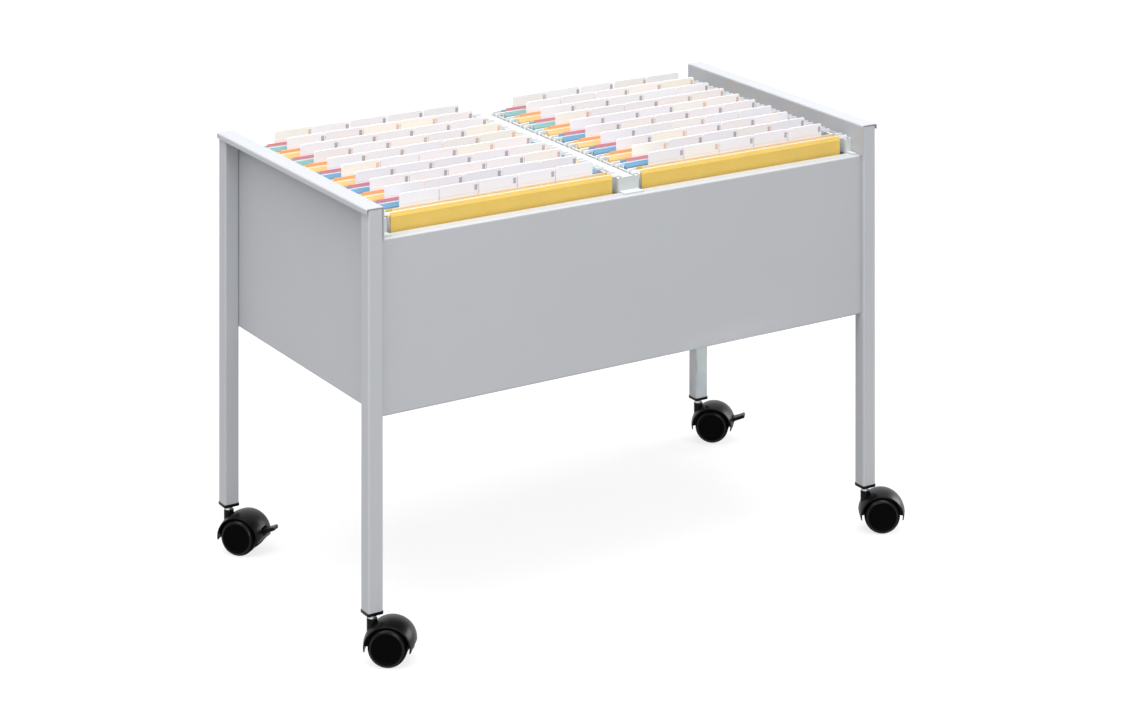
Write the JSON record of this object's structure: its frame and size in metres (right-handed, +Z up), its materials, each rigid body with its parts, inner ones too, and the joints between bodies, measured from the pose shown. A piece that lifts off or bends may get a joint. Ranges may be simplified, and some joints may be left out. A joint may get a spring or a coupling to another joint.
{
  "type": "mobile file cart",
  "caption": "Open-topped sheet-steel file cart on square tube legs with swivelling twin-wheel casters, holding rows of tabbed hanging files on rails in side-by-side bays.",
  "frame": {"origin": "on the floor, under the middle of the four legs", "axes": "+X to the right along the cart, +Y from the front to the rear, +Z up"},
  "size_m": [0.8093, 0.4762, 0.5457],
  "materials": {
    "silver_paint": "satin silver-grey powder coat",
    "white_rail": "satin",
    "black_plastic": "satin moulded",
    "wheel_black": "satin moulded",
    "bright_steel": "zinc plated",
    "card_yellow": "matt card",
    "card_orange": "matt card",
    "card_blue": "matt card",
    "card_teal": "matt card"
  },
  "bodies": {
    "frame": {"leg_front_left": "silver_paint", "tube_plug_front_left": "black_plastic", "caster_stem_front_left": "bright_steel", "leg_front_right": "silver_paint", "tube_plug_front_right": "black_plastic", "caster_stem_front_right": "bright_steel", "leg_rear_left": "silver_paint", "tube_plug_rear_left": "black_plastic", "caster_stem_rear_left": "bright_steel", "leg_rear_right": "silver_paint", "tube_plug_rear_right": "black_plastic", "caster_stem_rear_right": "bright_steel", "side_panel_right": "silver_paint", "side_panel_left": "silver_paint", "front_panel": "silver_paint", "rear_panel": "silver_paint", "file_rail_centre": "white_rail", "file_rail_right": "white_rail", "file_rail_left": "white_rail"},
    "caster_front_left": {"caster_housing_front_left": "black_plastic", "caster_axle_front_left": "bright_steel"},
    "wheel_left_front_left": {"caster_wheel_left_front_left": "wheel_black"},
    "wheel_right_front_left": {"caster_wheel_right_front_left": "wheel_black"},
    "caster_front_right": {"caster_housing_front_right": "black_plastic", "caster_axle_front_right": "bright_steel"},
    "wheel_left_front_right": {"caster_wheel_left_front_right": "wheel_black"},
    "wheel_right_front_right": {"caster_wheel_right_front_right": "wheel_black"},
    "caster_rear_left": {"caster_housing_rear_left": "black_plastic", "caster_axle_rear_left": "bright_steel"},
    "wheel_left_rear_left": {"caster_wheel_left_rear_left": "wheel_black"},
    "wheel_right_rear_left": {"caster_wheel_right_rear_left": "wheel_black"},
    "brake_rear_left": {"brake_lever_rear_left": "black_plastic"},
    "caster_rear_right": {"caster_housing_rear_right": "black_plastic", "caster_axle_rear_right": "bright_steel"},
    "wheel_left_rear_right": {"caster_wheel_left_rear_right": "wheel_black"},
    "wheel_right_rear_right": {"caster_wheel_right_rear_right": "wheel_black"},
    "brake_rear_right": {"brake_lever_rear_right": "black_plastic"},
    "file_left_01": {"hanging_file_left_01": "card_yellow"},
    "file_left_02": {"hanging_file_left_02": "card_blue"},
    "file_left_03": {"hanging_file_left_03": "card_orange"},
    "file_left_04": {"hanging_file_left_04": "card_blue"},
    "file_left_05": {"hanging_file_left_05": "card_orange"},
    "file_left_06": {"hanging_file_left_06": "card_blue"},
    "file_left_07": {"hanging_file_left_07": "card_orange"},
    "file_left_08": {"hanging_file_left_08": "card_teal"},
    "file_left_09": {"hanging_file_left_09": "card_orange"},
    "file_left_10": {"hanging_file_left_10": "card_teal"},
    "file_right_01": {"hanging_file_right_01": "card_yellow"},
    "file_right_02": {"hanging_file_right_02": "card_blue"},
    "file_right_03": {"hanging_file_right_03": "card_orange"},
    "file_right_04": {"hanging_file_right_04": "card_blue"},
    "file_right_05": {"hanging_file_right_05": "card_orange"},
    "file_right_06": {"hanging_file_right_06": "card_blue"},
    "file_right_07": {"hanging_file_right_07": "card_orange"},
    "file_right_08": {"hanging_file_right_08": "card_teal"},
    "file_right_09": {"hanging_file_right_09": "card_orange"},
    "file_right_10": {"hanging_file_right_10": "card_teal"}
  },
  "joints": [
    {"name": "swivel_front_left", "type": "hinge", "parent": "frame", "child": "caster_front_left", "pos_m": [-0.3675, -0.205, 0.052], "axis": [0, 0, 1], "continuous": true},
    {"name": "roll_left_front_left", "type": "hinge", "parent": "caster_front_left", "child": "wheel_left_front_left", "pos_m": [-0.3504, -0.21885, 0.024], "axis": [0.6293, 0.7771, 0], "continuous": true},
    {"name": "roll_right_front_left", "type": "hinge", "parent": "caster_front_left", "child": "wheel_right_front_left", "pos_m": [-0.3504, -0.21885, 0.024], "axis": [0.6293, 0.7771, 0], "continuous": true},
    {"name": "swivel_front_right", "type": "hinge", "parent": "frame", "child": "caster_front_right", "pos_m": [0.3675, -0.205, 0.052], "axis": [0, 0, 1], "continuous": true},
    {"name": "roll_left_front_right", "type": "hinge", "parent": "caster_front_right", "child": "wheel_left_front_right", "pos_m": [0.38595, -0.21698, 0.024], "axis": [0.5446, 0.8387, 0], "continuous": true},
    {"name": "roll_right_front_right", "type": "hinge", "parent": "caster_front_right", "child": "wheel_right_front_right", "pos_m": [0.38595, -0.21698, 0.024], "axis": [0.5446, 0.8387, 0], "continuous": true},
    {"name": "swivel_rear_left", "type": "hinge", "parent": "frame", "child": "caster_rear_left", "pos_m": [-0.3675, 0.205, 0.052], "axis": [0, 0, 1], "continuous": true},
    {"name": "roll_left_rear_left", "type": "hinge", "parent": "caster_rear_left", "child": "wheel_left_rear_left", "pos_m": [-0.35396, 0.18766, 0.024], "axis": [0.788, 0.6157, 0], "continuous": true},
    {"name": "roll_right_rear_left", "type": "hinge", "parent": "caster_rear_left", "child": "wheel_right_rear_left", "pos_m": [-0.35396, 0.18766, 0.024], "axis": [0.788, 0.6157, 0], "continuous": true},
    {"name": "brake_press_rear_left", "type": "hinge", "parent": "caster_rear_left", "child": "brake_rear_left", "pos_m": [-0.33636, 0.16514, 0.03059], "axis": [0.788, 0.6157, 0], "range_deg": [0, 22]},
    {"name": "swivel_rear_right", "type": "hinge", "parent": "frame", "child": "caster_rear_right", "pos_m": [0.3675, 0.205, 0.052], "axis": [0, 0, 1], "continuous": true},
    {"name": "roll_left_rear_right", "type": "hinge", "parent": "caster_rear_right", "child": "wheel_left_rear_right", "pos_m": [0.3841, 0.19057, 0.024], "axis": [0.6561, 0.7547, 0], "continuous": true},
    {"name": "roll_right_rear_right", "type": "hinge", "parent": "caster_rear_right", "child": "wheel_right_rear_right", "pos_m": [0.3841, 0.19057, 0.024], "axis": [0.6561, 0.7547, 0], "continuous": true},
    {"name": "brake_press_rear_right", "type": "hinge", "parent": "caster_rear_right", "child": "brake_rear_right", "pos_m": [0.40568, 0.17181, 0.03059], "axis": [0.6561, 0.7547, 0], "range_deg": [0, 22]},
    {"name": "slide_left_01", "type": "slide", "parent": "frame", "child": "file_left_01", "axis": [0, 1, 0], "range_m": [-0.002, 0.01]},
    {"name": "slide_left_02", "type": "slide", "parent": "frame", "child": "file_left_02", "axis": [0, 1, 0], "range_m": [-0.01, 0.01]},
    {"name": "slide_left_03", "type": "slide", "parent": "frame", "child": "file_left_03", "axis": [0, 1, 0], "range_m": [-0.01, 0.01]},
    {"name": "slide_left_04", "type": "slide", "parent": "frame", "child": "file_left_04", "axis": [0, 1, 0], "range_m": [-0.01, 0.01]},
    {"name": "slide_left_05", "type": "slide", "parent": "frame", "child": "file_left_05", "axis": [0, 1, 0], "range_m": [-0.01, 0.01]},
    {"name": "slide_left_06", "type": "slide", "parent": "frame", "child": "file_left_06", "axis": [0, 1, 0], "range_m": [-0.01, 0.01]},
    {"name": "slide_left_07", "type": "slide", "parent": "frame", "child": "file_left_07", "axis": [0, 1, 0], "range_m": [-0.01, 0.01]},
    {"name": "slide_left_08", "type": "slide", "parent": "frame", "child": "file_left_08", "axis": [0, 1, 0], "range_m": [-0.01, 0.01]},
    {"name": "slide_left_09", "type": "slide", "parent": "frame", "child": "file_left_09", "axis": [0, 1, 0], "range_m": [-0.01, 0.01]},
    {"name": "slide_left_10", "type": "slide", "parent": "frame", "child": "file_left_10", "axis": [0, 1, 0], "range_m": [-0.01, 0.002]},
    {"name": "slide_right_01", "type": "slide", "parent": "frame", "child": "file_right_01", "axis": [0, 1, 0], "range_m": [-0.002, 0.01]},
    {"name": "slide_right_02", "type": "slide", "parent": "frame", "child": "file_right_02", "axis": [0, 1, 0], "range_m": [-0.01, 0.01]},
    {"name": "slide_right_03", "type": "slide", "parent": "frame", "child": "file_right_03", "axis": [0, 1, 0], "range_m": [-0.01, 0.01]},
    {"name": "slide_right_04", "type": "slide", "parent": "frame", "child": "file_right_04", "axis": [0, 1, 0], "range_m": [-0.01, 0.01]},
    {"name": "slide_right_05", "type": "slide", "parent": "frame", "child": "file_right_05", "axis": [0, 1, 0], "range_m": [-0.01, 0.01]},
    {"name": "slide_right_06", "type": "slide", "parent": "frame", "child": "file_right_06", "axis": [0, 1, 0], "range_m": [-0.01, 0.01]},
    {"name": "slide_right_07", "type": "slide", "parent": "frame", "child": "file_right_07", "axis": [0, 1, 0], "range_m": [-0.01, 0.01]},
    {"name": "slide_right_08", "type": "slide", "parent": "frame", "child": "file_right_08", "axis": [0, 1, 0], "range_m": [-0.01, 0.01]},
    {"name": "slide_right_09", "type": "slide", "parent": "frame", "child": "file_right_09", "axis": [0, 1, 0], "range_m": [-0.01, 0.01]},
    {"name": "slide_right_10", "type": "slide", "parent": "frame", "child": "file_right_10", "axis": [0, 1, 0], "range_m": [-0.01, 0.002]}
  ]
}
